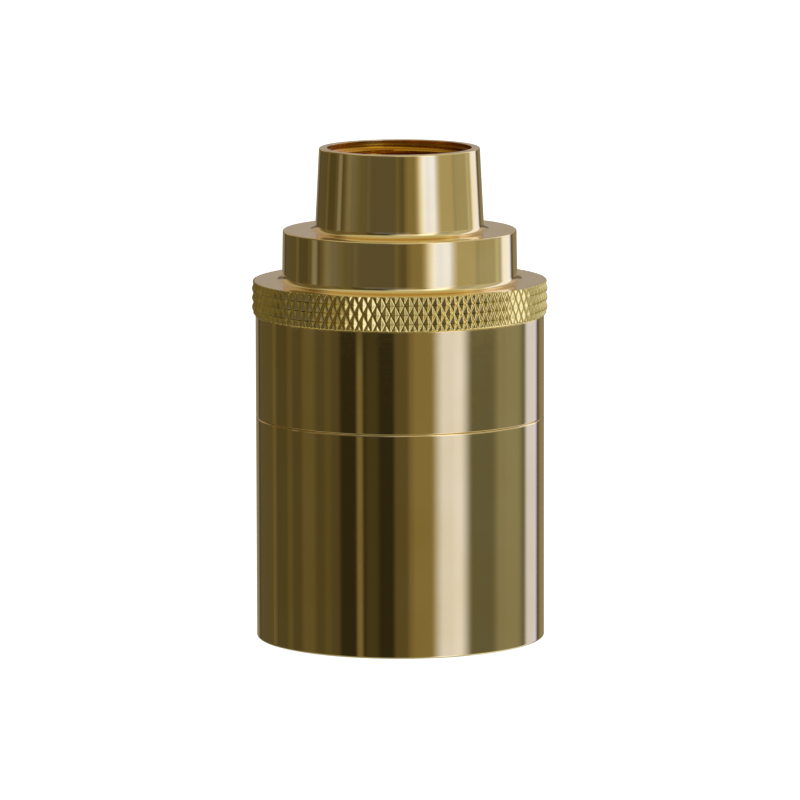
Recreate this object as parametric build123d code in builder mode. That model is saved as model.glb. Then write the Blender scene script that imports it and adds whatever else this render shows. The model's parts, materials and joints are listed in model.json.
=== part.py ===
from build123d import *
from math import cos, pi, radians, sin, tan
import os

# A turned brass lamp holder for a screw lamp, with a porcelain interior.
# Its frame is +Z up, and its origin is the centre of the lower rim that it stands on.
# The cap holds the thread for the conduit. The upper shell screws onto the cap and the
# lower sleeve onto the upper shell. Metal threads are plain cylinders at their sliding size.

# Lamp thread, rolled into the sheet of the screw shell. All radii follow from it outwards.
lamp_pitch = 3.629
lamp_root_radius = 13.4
lamp_thread_depth = 1.0
lamp_root_share = 0.15
lamp_flank_share = 0.2
sheet = 0.4
screw_shell_gap = 0.5

# Walls and steps from the screw shell out to the knurl
base_skirt_wall = 1.7
base_skirt_room = 1.0
tube_wall = 1.4
tube_thread_relief = 0.35
sleeve_wall = 1.25
cap_bore_wall = 1.2
thread_clearance = 0.05
knurl_overhang = 0.5
flange_shoulder = 4.2

# Outer form
body_height = 45.0
shell_height = 14.1
seam_chamfer = 0.3
rim_break = 0.25
flange_height = 4.8
step_height = 7.0
neck_height = 11.4
root_fillet = 0.9
edge_break = 0.3

# Diamond knurl round the flange, cut by straight V grooves of both hands
knurl_spacing = 1.115
knurl_angle = 30.0
groove_half_angle = 45.0
knurl_lower_chamfer = 0.6
knurl_upper_chamfer = 0.3
knurl_margin = 0.12

# Neck and hollow of the cap
neck_thread_radius = 9.46
neck_mouth_wall = 1.66
neck_taper = 0.58
mouth_chamfer = 0.52
neck_thread_relief = 1.74
step_roof = 2.0
flange_roof = 2.2
cap_thread_length = 5.7
cap_skirt_wall = 1.45

# Upper shell's tube and the lower sleeve
tube_length = 12.0
sleeve_thread_length = 6.0
lip_reach = 2.15
lip_thickness = 1.6

# Porcelain
porcelain_gap = 0.3
porcelain_flange_thickness = 2.4
porcelain_rounding = 0.5
floor_thickness = 7.8
collar_room = 0.85
collar_bore_gap = 0.6
mouth_overhang = 0.35
mouth_depth = 6.2
collar_recess = 0.3
collar_gap = 0.9

# Keys that stop the porcelain from turning while a thread is undone
key_width = 4.6
key_play = 0.3
key_rise = 5.5
key_thickness = 1.8

# Terminals, and the tab by which the screw shell is fixed under one of them
terminal_inset = 4.2
tab_width = 8.0
tab_lap = 3.2
block_length = 6.0
block_width = 8.0
block_height = 7.0
block_chamfer = 0.4
pocket_depth = 5.0
pocket_clearance = 0.3
pocket_inner_edge = 2.0
wire_hole_radius = 1.5
wire_hole_height = 4.1
barrier_thickness = 2.0
barrier_length = 15.0
barrier_height = 3.6
barrier_rounding = 0.4

# Small screws
screw_radius = 1.5
screw_clearance = 0.05
screw_hole_play = 0.2
screw_head_radius = 2.5
screw_head_height = 1.7
screw_head_chamfer = 0.25
screw_slot_width = 0.8
screw_slot_depth = 0.8
fixing_screw_grip = 2.2
clamp_screw_stand = 0.3

# Earth terminal inside the cap, turned clear of the keys and the other terminals
earth_angle = 45.0
earth_screw_length = 5.0
earth_hole_depth = 6.0
earth_washer_room = 0.7
earth_washer_thickness = 0.5
earth_head_inset = 0.2

# Centre contact
tongue_width = 6.0
tongue_sheet = 0.5
tongue_drop = 2.8
tongue_tip = 2.6
tongue_lift = 0.6
tongue_lift_length = 0.8
tongue_foot = 5.0
tongue_bend = 0.6
stud_radius = 2.1
stud_height = 1.0
stud_chamfer = 0.5
stud_shank_radius = 0.9
stud_tail_radius = 1.4
stud_tail_height = 0.5

# Radii from the lamp thread outwards
lamp_crest_radius = lamp_root_radius - lamp_thread_depth
screw_shell_radius = lamp_root_radius + sheet
cavity_radius = screw_shell_radius + screw_shell_gap
base_skirt_radius = cavity_radius + base_skirt_wall
tube_inner_radius = base_skirt_radius + base_skirt_room
tube_radius = tube_inner_radius + tube_wall
sleeve_bore_radius = tube_radius + thread_clearance
sleeve_inner_radius = tube_radius + tube_thread_relief
body_radius = sleeve_inner_radius + sleeve_wall
cap_bore_radius = body_radius - cap_bore_wall
cap_thread_radius = cap_bore_radius - thread_clearance
cap_skirt_inner_radius = cap_thread_radius - cap_skirt_wall
knurl_radius = body_radius + knurl_overhang
step_radius = knurl_radius - flange_shoulder
porcelain_flange_radius = cap_bore_radius - porcelain_gap
porcelain_body_radius = tube_inner_radius - porcelain_gap
lip_radius = sleeve_inner_radius - lip_reach
collar_radius = sleeve_inner_radius - collar_room
collar_bore_radius = screw_shell_radius + collar_bore_gap
mouth_radius = lamp_root_radius + mouth_overhang
terminal_offset = lamp_crest_radius - terminal_inset

# Radii from the neck's thread outwards
neck_mouth_radius = neck_thread_radius + neck_mouth_wall
neck_base_radius = neck_mouth_radius + neck_taper
relief_radius = neck_thread_radius + neck_thread_relief
earth_washer_radius = (cap_skirt_inner_radius - relief_radius - earth_washer_room) / 2
earth_head_radius = earth_washer_radius - earth_head_inset
earth_offset = relief_radius + earth_washer_radius
earth_x = earth_offset * cos(radians(earth_angle))
earth_y = earth_offset * sin(radians(earth_angle))

# Heights from the rim and the shoulder of the body
seam_height = body_height - shell_height
flange_top = body_height + flange_height
step_top = flange_top + step_height
overall_height = step_top + neck_height
relief_top = step_top - step_roof
cap_ceiling = flange_top - flange_roof
cap_skirt_bottom = body_height - cap_thread_length
ledge_height = cap_skirt_bottom - porcelain_flange_thickness
tube_bottom = seam_height - tube_length
sleeve_thread_bottom = seam_height - sleeve_thread_length
porcelain_top = cap_skirt_bottom
pocket_floor = porcelain_top - pocket_depth
floor_height = pocket_floor - floor_thickness
collar_top = tube_bottom - collar_gap
mouth_top = mouth_depth + collar_recess
screw_shell_bottom = mouth_top + screw_shell_gap
tab_height = floor_height - sheet
lamp_turns = int((tab_height - screw_shell_bottom) // lamp_pitch)
block_top = pocket_floor + block_height
foot_height = floor_height - tongue_sheet
tongue_height = foot_height - tongue_drop

os.makedirs("parts", exist_ok=True)


def ring_edges(part, radius, height):
    """The circular edges of a turned part that have this radius at this height."""
    circles = part.edges().filter_by(GeomType.CIRCLE)
    level = circles.filter_by(lambda edge: abs(edge.arc_center.Z - height) < 0.01)
    return level.filter_by(lambda edge: abs(edge.radius - radius) < 0.01)


def knurl_groove(hand):
    """A straight V groove cutter against the flange, leaning to one hand (+1 or -1)."""
    count = round(2 * pi * knurl_radius * cos(radians(knurl_angle)) / knurl_spacing)
    half_spacing = pi * knurl_radius * cos(radians(knurl_angle)) / count
    depth = half_spacing / tan(radians(groove_half_angle))
    reach = 1.6 * depth
    lean = radians(knurl_angle)
    across = Plane(
        origin=(knurl_radius - depth, 0, body_height + flange_height / 2),
        x_dir=(1, 0, 0),
        z_dir=(0, hand * sin(lean), cos(lean)),
    )
    with BuildPart(mode=Mode.PRIVATE) as groove:
        with BuildSketch(across):
            with BuildLine():
                half_width = reach * tan(radians(groove_half_angle))
                Polyline((0, 0), (reach, half_width), (reach, -half_width), close=True)
            make_face()
        extrude(amount=0.8 * flange_height / cos(lean), both=True)
    return groove.part, count


def slotted_screw(seat, shank_length, head_radius):
    """A cheese head screw: its head stands on the seat plane, its shank goes down from it."""
    with BuildPart() as screw:
        with BuildSketch(seat):
            Circle(head_radius)
        extrude(amount=screw_head_height)
        chamfer(screw.edges().group_by(Axis.Z)[-1 if seat.z_dir.Z > 0 else 0], length=screw_head_chamfer)
        with BuildSketch(seat):
            Circle(screw_radius)
        extrude(amount=-shank_length)
        with BuildSketch(seat.offset(screw_head_height)):
            Rectangle(2 * head_radius + 1, screw_slot_width)
        extrude(amount=-screw_slot_depth, mode=Mode.SUBTRACT)
    return screw


def terminal_block(side):
    """A brass pillar terminal in its pocket, with a wire hole and a tapped hole through it."""
    centre = Plane((side * terminal_offset, 0, pocket_floor))
    with BuildPart() as block:
        with BuildSketch(centre):
            Rectangle(block_length, block_width)
        extrude(amount=block_height)
        chamfer(block.edges().filter_by(Axis.Z), length=block_chamfer)
        chamfer(block.edges().group_by(Axis.Z)[-1], length=block_chamfer)
        with BuildSketch(Plane.YZ.offset(side * terminal_offset)):
            with Locations((0, pocket_floor + wire_hole_height)):
                Circle(wire_hole_radius)
        extrude(amount=block_length, both=True, mode=Mode.SUBTRACT)
        with BuildSketch(centre):
            Circle(screw_radius + screw_clearance)
        extrude(amount=block_height, mode=Mode.SUBTRACT)
    return block


# Cap: neck, step, knurled flange and threaded skirt, turned in one piece
with BuildPart() as cap:
    with BuildSketch(Plane.XZ):
        with BuildLine():
            Polyline(
                (cap_skirt_inner_radius, cap_skirt_bottom),
                (cap_thread_radius, cap_skirt_bottom),
                (cap_thread_radius, flange_top),
                (step_radius, flange_top),
                (step_radius, step_top),
                (neck_base_radius, step_top),
                (neck_mouth_radius, overall_height),
                (neck_thread_radius, overall_height),
                (neck_thread_radius, relief_top),
                (relief_radius, relief_top),
                (relief_radius, cap_ceiling),
                (cap_skirt_inner_radius, cap_ceiling),
                close=True,
            )
        make_face()
    revolve(axis=Axis.Z)
    fillet(ring_edges(cap, step_radius, flange_top), radius=root_fillet)
    fillet(ring_edges(cap, neck_base_radius, step_top), radius=root_fillet)
    chamfer(ring_edges(cap, step_radius, step_top), length=edge_break)
    chamfer(ring_edges(cap, neck_mouth_radius, overall_height), length=edge_break)
    chamfer(ring_edges(cap, neck_thread_radius, overall_height), length=mouth_chamfer)
    chamfer(ring_edges(cap, cap_thread_radius, cap_skirt_bottom), length=edge_break)

    # Slots in the skirt's lower edge for the keys of the porcelain base
    with BuildSketch(Plane.XY.offset(cap_skirt_bottom)):
        Rectangle(key_width + 2 * key_play, 2 * cap_thread_radius + 1)
        Circle(cap_skirt_inner_radius - edge_break, mode=Mode.SUBTRACT)
    extrude(amount=key_rise, mode=Mode.SUBTRACT)

    # Tapped hole for the earth screw
    with BuildSketch(Plane((earth_x, earth_y, cap_ceiling))):
        Circle(screw_radius + screw_clearance)
    extrude(amount=earth_hole_depth, mode=Mode.SUBTRACT)

    # Knurled band: a blank with one flat for each row of crests, then both hands of grooves
    left_groove, knurl_count = knurl_groove(1)
    right_groove, _ = knurl_groove(-1)
    with BuildPart(mode=Mode.PRIVATE) as band:
        with BuildSketch(Plane.XY.offset(body_height)):
            RegularPolygon(
                knurl_radius + knurl_margin,
                2 * knurl_count,
                major_radius=False,
                rotation=90 / knurl_count,
            )
        extrude(amount=flange_height)
        chamfer(band.edges().group_by(Axis.Z)[0], length=knurl_lower_chamfer)
        chamfer(band.edges().group_by(Axis.Z)[-1], length=knurl_upper_chamfer)
        with BuildSketch(Plane.XY.offset(body_height)):
            Circle(cap_thread_radius - edge_break)
        extrude(amount=flange_height, mode=Mode.SUBTRACT)
        with PolarLocations(0, knurl_count):
            add(left_groove, mode=Mode.SUBTRACT)
        with PolarLocations(0, knurl_count):
            add(right_groove, mode=Mode.SUBTRACT)
    add(band.part)
cap.part.label = "cap"
export_step(cap.part, "parts/cap.step")

# Earth screw, head down, with its washer against the cap's ceiling
earth_seat = cap_ceiling - earth_washer_thickness
earth_screw = slotted_screw(
    Plane(origin=(earth_x, earth_y, earth_seat), x_dir=(1, 0, 0), z_dir=(0, 0, -1)),
    earth_screw_length + earth_washer_thickness,
    earth_head_radius,
)
earth_screw.part.label = "earth_screw"
export_step(earth_screw.part, "parts/earth_screw.step")

with BuildPart() as earth_washer:
    with BuildSketch(Plane((earth_x, earth_y, earth_seat))):
        Circle(earth_washer_radius)
        Circle(screw_radius + screw_hole_play, mode=Mode.SUBTRACT)
    extrude(amount=earth_washer_thickness)
earth_washer.part.label = "earth_washer"
export_step(earth_washer.part, "parts/earth_washer.step")

# Upper shell: the visible ring, the bore for the cap, the ledge and the tube below
with BuildPart() as upper_shell:
    with BuildSketch(Plane.XZ):
        with BuildLine():
            Polyline(
                (tube_inner_radius, tube_bottom),
                (tube_radius, tube_bottom),
                (tube_radius, seam_height),
                (body_radius, seam_height),
                (body_radius, body_height),
                (cap_bore_radius, body_height),
                (cap_bore_radius, ledge_height),
                (tube_inner_radius, ledge_height),
                close=True,
            )
        make_face()
    revolve(axis=Axis.Z)
    chamfer(ring_edges(upper_shell, body_radius, seam_height), length=seam_chamfer)
    chamfer(ring_edges(upper_shell, tube_radius, tube_bottom), length=edge_break)
    chamfer(ring_edges(upper_shell, cap_bore_radius, body_height), length=edge_break)
    with BuildSketch(Plane.XY.offset(tube_bottom)):
        Rectangle(2 * tube_radius + 1, key_width + 2 * key_play)
        Circle(tube_inner_radius - edge_break, mode=Mode.SUBTRACT)
    extrude(amount=key_rise + key_play, mode=Mode.SUBTRACT)
upper_shell.part.label = "upper_shell"
export_step(upper_shell.part, "parts/upper_shell.step")

# Lower sleeve: the long plain skirt, threaded inside its top and lipped at its rim
with BuildPart() as lower_sleeve:
    with BuildSketch(Plane.XZ):
        with BuildLine():
            Polyline(
                (lip_radius, 0),
                (body_radius, 0),
                (body_radius, seam_height),
                (sleeve_bore_radius, seam_height),
                (sleeve_bore_radius, sleeve_thread_bottom),
                (sleeve_inner_radius, sleeve_thread_bottom),
                (sleeve_inner_radius, lip_thickness),
                (lip_radius, lip_thickness),
                close=True,
            )
        make_face()
    revolve(axis=Axis.Z)
    chamfer(ring_edges(lower_sleeve, body_radius, seam_height), length=seam_chamfer)
    chamfer(ring_edges(lower_sleeve, sleeve_bore_radius, seam_height), length=edge_break)
    chamfer(ring_edges(lower_sleeve, body_radius, 0), length=rim_break)
    chamfer(ring_edges(lower_sleeve, lip_radius, 0), length=rim_break)
lower_sleeve.part.label = "lower_sleeve"
export_step(lower_sleeve.part, "parts/lower_sleeve.step")

# Porcelain collar: rests on the sleeve's lip and shields the screw shell
with BuildPart() as porcelain_collar:
    with BuildSketch(Plane.XZ):
        with BuildLine():
            Polyline(
                (mouth_radius, collar_recess),
                (lip_radius - porcelain_gap, collar_recess),
                (lip_radius - porcelain_gap, lip_thickness),
                (collar_radius, lip_thickness),
                (collar_radius, collar_top),
                (collar_bore_radius, collar_top),
                (collar_bore_radius, mouth_top),
                (mouth_radius, mouth_top),
                close=True,
            )
        make_face()
    revolve(axis=Axis.Z)
    fillet(ring_edges(porcelain_collar, mouth_radius, collar_recess), radius=porcelain_rounding)
    chamfer(ring_edges(porcelain_collar, collar_radius, collar_top), length=edge_break)
    with BuildSketch(Plane.XY.offset(collar_top - edge_break)):
        Circle(tube_radius - porcelain_gap)
        Circle(tube_radius - porcelain_gap - key_thickness, mode=Mode.SUBTRACT)
        Rectangle(2 * tube_radius, key_width, mode=Mode.INTERSECT)
    extrude(amount=edge_break + collar_gap + key_rise)
porcelain_collar.part.label = "porcelain_collar"
export_step(porcelain_collar.part, "parts/porcelain_collar.step")

# Porcelain base: carries the screw shell below and the terminals in pockets above
with BuildPart() as porcelain_base:
    with BuildSketch(Plane.XZ):
        with BuildLine():
            Polyline(
                (0, floor_height),
                (cavity_radius, floor_height),
                (cavity_radius, tube_bottom),
                (base_skirt_radius, tube_bottom),
                (base_skirt_radius, floor_height),
                (porcelain_body_radius, floor_height),
                (porcelain_body_radius, ledge_height),
                (porcelain_flange_radius, ledge_height),
                (porcelain_flange_radius, porcelain_top),
                (0, porcelain_top),
                close=True,
            )
        make_face()
    revolve(axis=Axis.Z)
    chamfer(ring_edges(porcelain_base, base_skirt_radius, tube_bottom), length=edge_break)
    chamfer(ring_edges(porcelain_base, porcelain_flange_radius, ledge_height), length=edge_break)

    # Keys that stand up into the cap's skirt
    with BuildSketch(Plane.XY.offset(porcelain_top)):
        Circle(porcelain_flange_radius - porcelain_gap / 2)
        Circle(porcelain_flange_radius - porcelain_gap / 2 - key_thickness, mode=Mode.SUBTRACT)
        Rectangle(key_width, 2 * porcelain_flange_radius, mode=Mode.INTERSECT)
    extrude(amount=key_rise - key_play)

    # Barrier between the two terminals
    with BuildSketch(Plane.XY.offset(porcelain_top)):
        Rectangle(barrier_thickness, barrier_length)
    extrude(amount=barrier_height)
    fillet(porcelain_base.edges().filter_by(Axis.Y).group_by(Axis.Z)[-1], radius=barrier_rounding)

    # A pocket for each terminal, open towards the middle for its wire
    for side in (-1, 1):
        outer_edge = terminal_offset + block_length / 2 + pocket_clearance
        with BuildSketch(Plane.XY.offset(pocket_floor)):
            with Locations((side * (outer_edge + pocket_inner_edge) / 2, 0)):
                Rectangle(outer_edge - pocket_inner_edge, block_width + 2 * pocket_clearance)
        extrude(amount=pocket_depth, mode=Mode.SUBTRACT)
        with BuildSketch(Plane((side * terminal_offset, 0, floor_height))):
            Circle(screw_radius + screw_hole_play)
        extrude(amount=pocket_floor - floor_height, mode=Mode.SUBTRACT)
porcelain_base.part.label = "porcelain_base"
export_step(porcelain_base.part, "parts/porcelain_base.step")

# Screw shell: a tube of sheet with the turns of the lamp thread rolled in as rings, and
# a fixing tab bent in at its top
with BuildPart() as screw_shell:
    with BuildSketch(Plane.XZ):
        with BuildLine():
            root = lamp_root_share * lamp_pitch
            flank = lamp_flank_share * lamp_pitch
            wall = [(lamp_root_radius, screw_shell_bottom)]
            for turn in range(lamp_turns):
                turn_bottom = screw_shell_bottom + turn * lamp_pitch
                turn_top = turn_bottom + lamp_pitch
                wall.append((lamp_root_radius, turn_bottom + root))
                wall.append((lamp_crest_radius, turn_bottom + root + flank))
                wall.append((lamp_crest_radius, turn_top - root - flank))
                wall.append((lamp_root_radius, turn_top - root))
            wall.append((lamp_root_radius, floor_height))
            Polyline(*wall)
            offset(amount=sheet, side=Side.RIGHT, closed=True, kind=Kind.INTERSECTION)
        make_face()
    revolve(axis=Axis.Z)
    with BuildSketch(Plane.XY.offset(tab_height)):
        tab_end = terminal_offset - tab_lap
        with Locations((tab_end, 0)):
            Rectangle(screw_shell_radius - tab_end, tab_width, align=(Align.MIN, Align.CENTER))
        Circle(screw_shell_radius, mode=Mode.INTERSECT)
        with Locations((terminal_offset, 0)):
            Circle(screw_radius + screw_hole_play, mode=Mode.SUBTRACT)
    extrude(amount=sheet)
screw_shell.part.label = "screw_shell"
export_step(screw_shell.part, "parts/screw_shell.step")

# Centre contact: a sprung tongue whose foot is screwed under the floor of the cavity
with BuildPart() as centre_contact:
    with BuildSketch(Plane.XZ):
        with BuildLine():
            FilletPolyline(
                (-terminal_offset - tongue_foot / 2, foot_height),
                (-terminal_offset + tongue_foot / 2, foot_height),
                (-tongue_tip, tongue_height),
                (tongue_tip, tongue_height),
                (tongue_tip + tongue_lift_length, tongue_height + tongue_lift),
                radius=tongue_bend,
            )
            offset(amount=tongue_sheet, side=Side.LEFT, closed=True)
        make_face()
    extrude(amount=tongue_width / 2, both=True)
    with BuildSketch(Plane((-terminal_offset, 0, foot_height))):
        Circle(screw_radius + screw_hole_play)
    extrude(amount=tongue_sheet, mode=Mode.SUBTRACT)
    with BuildSketch(Plane.XY.offset(tongue_height)):
        Circle(stud_shank_radius + screw_clearance)
    extrude(amount=tongue_sheet, mode=Mode.SUBTRACT)
centre_contact.part.label = "centre_contact"
export_step(centre_contact.part, "parts/centre_contact.step")

# Contact stud, riveted through the tip of the tongue
with BuildPart() as contact_stud:
    with BuildSketch(Plane.XZ):
        with BuildLine():
            stud_bottom = tongue_height - stud_height
            tail_bottom = tongue_height + tongue_sheet
            Polyline(
                (0, stud_bottom),
                (stud_radius, stud_bottom),
                (stud_radius, tongue_height),
                (stud_shank_radius, tongue_height),
                (stud_shank_radius, tail_bottom),
                (stud_tail_radius, tail_bottom),
                (stud_tail_radius, tail_bottom + stud_tail_height),
                (0, tail_bottom + stud_tail_height),
                close=True,
            )
        make_face()
    revolve(axis=Axis.Z)
    chamfer(ring_edges(contact_stud, stud_radius, tongue_height - stud_height), length=stud_chamfer)
contact_stud.part.label = "contact_stud"
export_step(contact_stud.part, "parts/contact_stud.step")

# Terminals: live above the tongue's foot, neutral above the screw shell's tab
live_terminal = terminal_block(-1)
live_terminal.part.label = "live_terminal"
export_step(live_terminal.part, "parts/live_terminal.step")

neutral_terminal = terminal_block(1)
neutral_terminal.part.label = "neutral_terminal"
export_step(neutral_terminal.part, "parts/neutral_terminal.step")

# Fixing screws: up through the tongue or the tab and the porcelain into the terminal
live_fixing_screw = slotted_screw(
    Plane(origin=(-terminal_offset, 0, foot_height), x_dir=(1, 0, 0), z_dir=(0, 0, -1)),
    pocket_floor + fixing_screw_grip - foot_height,
    screw_head_radius,
)
live_fixing_screw.part.label = "live_fixing_screw"
export_step(live_fixing_screw.part, "parts/live_fixing_screw.step")

neutral_fixing_screw = slotted_screw(
    Plane(origin=(terminal_offset, 0, tab_height), x_dir=(1, 0, 0), z_dir=(0, 0, -1)),
    pocket_floor + fixing_screw_grip - tab_height,
    screw_head_radius,
)
neutral_fixing_screw.part.label = "neutral_fixing_screw"
export_step(neutral_fixing_screw.part, "parts/neutral_fixing_screw.step")

# Clamp screws: down through the top of the terminal onto the wire
clamp_screw_tip = pocket_floor + wire_hole_height
live_terminal_screw = slotted_screw(
    Plane((-terminal_offset, 0, block_top + clamp_screw_stand)),
    block_top + clamp_screw_stand - clamp_screw_tip,
    screw_head_radius,
)
live_terminal_screw.part.label = "live_terminal_screw"
export_step(live_terminal_screw.part, "parts/live_terminal_screw.step")

neutral_terminal_screw = slotted_screw(
    Plane((terminal_offset, 0, block_top + clamp_screw_stand)),
    block_top + clamp_screw_stand - clamp_screw_tip,
    screw_head_radius,
)
neutral_terminal_screw.part.label = "neutral_terminal_screw"
export_step(neutral_terminal_screw.part, "parts/neutral_terminal_screw.step")
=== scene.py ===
import json
import logging
import math
from collections.abc import Callable
from dataclasses import dataclass
from enum import Enum

import bmesh
import bpy
import numpy as np
from mathutils import Euler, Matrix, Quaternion


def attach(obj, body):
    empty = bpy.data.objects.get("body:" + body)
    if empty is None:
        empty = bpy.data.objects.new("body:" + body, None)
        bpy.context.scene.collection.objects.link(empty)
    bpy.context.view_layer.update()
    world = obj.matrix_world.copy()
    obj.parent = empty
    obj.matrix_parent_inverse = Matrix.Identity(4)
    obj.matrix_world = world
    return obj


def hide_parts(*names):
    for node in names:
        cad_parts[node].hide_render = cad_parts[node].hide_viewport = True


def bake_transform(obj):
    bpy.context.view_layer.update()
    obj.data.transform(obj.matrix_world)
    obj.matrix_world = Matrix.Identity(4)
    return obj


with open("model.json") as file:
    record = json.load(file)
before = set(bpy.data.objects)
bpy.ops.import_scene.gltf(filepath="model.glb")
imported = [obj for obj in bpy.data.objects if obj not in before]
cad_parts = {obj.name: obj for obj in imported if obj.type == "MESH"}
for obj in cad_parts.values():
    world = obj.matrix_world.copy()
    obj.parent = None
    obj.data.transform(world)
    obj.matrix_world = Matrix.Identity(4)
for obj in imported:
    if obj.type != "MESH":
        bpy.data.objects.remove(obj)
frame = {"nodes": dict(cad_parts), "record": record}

log = logging.getLogger("lamp_holder")

MM = 0.001
"""Metres in a millimetre: sizes of pieces are in millimetres and meshes in metres."""

FULL_TURN = 2 * math.pi

WALL_MATCH = 0.01
"""How near a point's radius lies to a threaded wall's own, in millimetres."""

Tone = tuple[float, float, float, float]
"""A linear colour with its alpha."""

Relief = Callable[[np.ndarray, np.ndarray, np.ndarray], np.ndarray]
"""Gives a wall's finished radius from its radius, height and angle."""


# Turned shapes


@dataclass(frozen=True)
class Thread:
    """A thread that runs round a turned wall.

    Args:
        pitch: Rise of the thread in one turn.
        depth: Height of the thread's ridge.
        low: Height at which the thread starts.
        high: Height at which the thread ends.
        runout: Length over which the ridge fades at either end.
    """

    pitch: float
    depth: float
    low: float
    high: float
    runout: float = 0.6

    def ridge(self, height: np.ndarray, angle: np.ndarray) -> np.ndarray:
        """The ridge's height over the thread's root, from 0 to the depth.

        The ridge is a triangle wave w of the height, moved up by one pitch a turn and
        rounded at its crest and root by 3w^2 - 2w^3.

        Args:
            height: Heights of the points.
            angle: Angles of the points round the axis, in radians.

        Returns:
            The ridge at each point.
        """
        turn = height / self.pitch - angle / FULL_TURN
        wave = 2 * np.abs(turn - np.round(turn))
        wave = wave * wave * (3 - 2 * wave)
        fade = np.clip((height - self.low) / self.runout, 0, 1)
        fade = fade * np.clip((self.high - height) / self.runout, 0, 1)
        return self.depth * wave * fade

    def cut(self, height: np.ndarray, angle: np.ndarray) -> np.ndarray:
        """How far a wall at the thread's crest is cut back: the depth less the ridge."""
        return self.depth - self.ridge(height, angle)


@dataclass(frozen=True)
class Corner:
    """One corner of a turned outline.

    Args:
        radius: Distance from the axis.
        height: Height over the lower rim.
        rounding: Radius of the arc that replaces the corner, 0 for a sharp one.
        rows: Extra points on the run to the next corner, for a wall with relief.
    """

    radius: float
    height: float
    rounding: float = 0.0
    rows: int = 0


def arc(start: np.ndarray, end: np.ndarray, centre: np.ndarray, steps: int) -> np.ndarray:
    """The points of an arc: the first spoke, turned by even shares of the angle to the last.

    Args:
        start: Where the arc starts.
        end: Where it ends.
        centre: Its centre.
        steps: Segments in it.

    Returns:
        An array of points, both ends included.
    """
    first, last = start - centre, end - centre
    turn = math.atan2(first[0] * last[1] - first[1] * last[0], float(first @ last))
    sweep = turn * np.linspace(0, 1, steps + 1)
    cosine, sine = np.cos(sweep), np.sin(sweep)
    x = first[0] * cosine - first[1] * sine
    y = first[0] * sine + first[1] * cosine
    return centre + np.stack([x, y], axis=1)


def outline(corners: list[Corner], arc_steps: int = 7, hold: float = 0.03) -> np.ndarray:
    """The points of a closed turned outline, with its corners rounded.

    A rounded corner of radius q whose runs turn by the angle t starts and ends
    q * tan(t / 2) from the corner. A holding point on each side keeps the runs' shading flat.

    Args:
        corners: The outline's corners, in order.
        arc_steps: Segments in each arc.
        hold: Distance of a holding point from its arc or corner.

    Returns:
        An array of (radius, height) rows.
    """
    spots = np.array([(corner.radius, corner.height) for corner in corners])
    ahead = np.roll(spots, -1, axis=0) - spots
    length = np.linalg.norm(ahead, axis=1)
    ahead /= length[:, None]
    behind = np.roll(ahead, 1, axis=0)
    turns = np.arccos(np.clip(np.sum(behind * ahead, axis=1), -1, 1))
    trims = np.array([corner.rounding for corner in corners]) * np.tan(turns / 2)
    points: list[np.ndarray] = []
    for index, corner in enumerate(corners):
        before, after = behind[index], ahead[index]
        spot, trim = spots[index], trims[index]
        if trim > 0:
            start, end = spot - before * trim, spot + after * trim
            side = np.sign(before[0] * after[1] - before[1] * after[0])
            centre = start + side * corner.rounding * np.array([-before[1], before[0]])
            points.extend(arc(start, end, centre, arc_steps))
        else:
            points.append(spot)
        near, far = trim + hold, length[index] - trims[(index + 1) % len(corners)] - hold
        marks = [near, far] if far - near > hold else []
        if corner.rows:
            marks = list(np.linspace(near, far, corner.rows + 2))
        points.extend(spot + after * mark for mark in marks)
    return np.array(points)


def ring_corners(count: int, rows: int, whole: bool = True) -> list[np.ndarray]:
    """The corners of the quads between sections that are carried round an axis.

    A vertex has the number of its section times the rows, plus its row.

    Args:
        count: Number of sections.
        rows: Points in each section, whose last one joins the first.
        whole: Whether the last section joins the first one.

    Returns:
        Four arrays of vertex numbers, one for each corner, by section and row.
    """
    near = np.arange(count if whole else count - 1)[:, None]
    far = (near + 1) % count
    row = np.arange(rows)
    following = (row + 1) % rows
    return [
        near * rows + row,
        far * rows + row,
        far * rows + following,
        near * rows + following,
    ]


def ring_faces(count: int, rows: int, whole: bool = True) -> np.ndarray:
    """The quads between sections that are carried round an axis.

    Args:
        count: Number of sections.
        rows: Points in each section.
        whole: Whether the last section joins the first one.

    Returns:
        Rows of four vertex numbers, section by section.
    """
    return np.stack(ring_corners(count, rows, whole), axis=2).reshape(-1, 4)


def turned(
    points: np.ndarray,
    segments: int,
    relief: Relief | None = None,
    sector: tuple[float, float] | None = None,
) -> tuple[np.ndarray, ...]:
    """The skin that a closed outline sweeps round the axis.

    A point of radius r at the angle a lies at (r cos a, r sin a). The sign of the outline's
    area, the sum of the cross products of its neighbouring points, says which way faces turn.

    Args:
        points: The closed outline as (radius, height) rows.
        segments: Steps round the axis.
        relief: What cuts a thread into the skin.
        sector: First and last angle in radians of a part turn, or None for a full one.

    Returns:
        Vertices in millimetres, then the quads, then the two ends of a part turn.
    """
    low, high = sector or (0.0, FULL_TURN)
    angle = np.linspace(low, high, segments + 1)
    if sector is None:
        angle = angle[:-1]
    count, rows = len(angle), len(points)
    radius = np.repeat(points[:, 0][None, :], count, axis=0)
    height = np.repeat(points[:, 1][None, :], count, axis=0)
    around = np.repeat(angle[:, None], rows, axis=1)
    if relief is not None:
        radius = relief(radius, height, around)
    spots = np.stack([radius * np.cos(around), radius * np.sin(around), height], axis=2)
    groups = [ring_faces(count, rows, sector is None)]
    if sector is not None:
        row = np.arange(rows)
        groups.append(np.stack([row, ((count - 1) * rows + row)[::-1]]))
    following = np.roll(points, -1, axis=0)
    area = np.sum(points[:, 0] * following[:, 1] - following[:, 0] * points[:, 1])
    if area < 0:
        groups = [group[:, ::-1] for group in groups]
    return spots.reshape(-1, 3), *groups


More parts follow.
